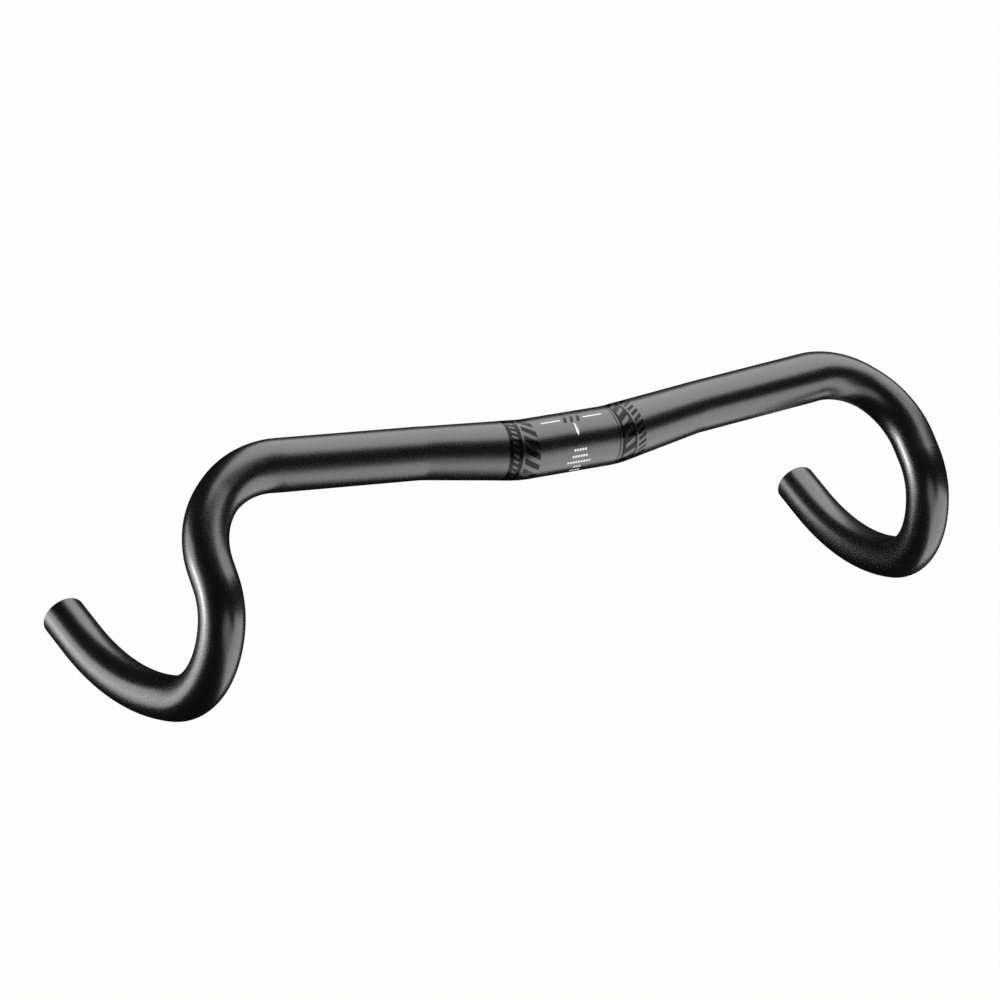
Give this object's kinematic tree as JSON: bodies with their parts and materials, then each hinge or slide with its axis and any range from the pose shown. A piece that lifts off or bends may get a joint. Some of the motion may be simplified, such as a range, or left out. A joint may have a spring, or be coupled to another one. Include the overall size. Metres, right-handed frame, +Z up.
{
  "type": "drop handlebar",
  "caption": "Black alloy drop handlebar with a thicker stem clamp section, slightly swept round tops, short reach, flared hooks and open bar ends.",
  "frame": {"origin": "middle of the stem clamp section, on its axis", "axes": "+X to the rider's right along the stem clamp axis, +Y forward in the direction of travel, +Z up with the tops level"},
  "size_m": [0.5006, 0.1212, 0.17],
  "materials": {
    "bar_black": "bead-blasted, black anodised satin",
    "gloss_mark": "gloss black film",
    "white_mark": "flat white ink"
  },
  "bodies": {
    "root": {"clamp_section": "bar_black", "right_inner_bend": "bar_black", "right_taper": "bar_black", "right_top": "bar_black", "right_shoulder": "bar_black", "right_ramp": "bar_black", "right_upper_hook": "bar_black", "right_lower_hook": "bar_black", "right_drop": "bar_black", "right_bar_end": "bar_black", "left_inner_bend": "bar_black", "left_taper": "bar_black", "left_top": "bar_black", "left_shoulder": "bar_black", "left_ramp": "bar_black", "left_upper_hook": "bar_black", "left_lower_hook": "bar_black", "left_drop": "bar_black", "left_bar_end": "bar_black", "right_bar_mark": "gloss_mark", "right_band_mark": "gloss_mark", "left_band_mark": "gloss_mark", "left_bar_mark": "gloss_mark", "centre_mark": "white_mark", "centre_bars": "gloss_mark", "angle_scale": "white_mark"}
  },
  "joints": []
}
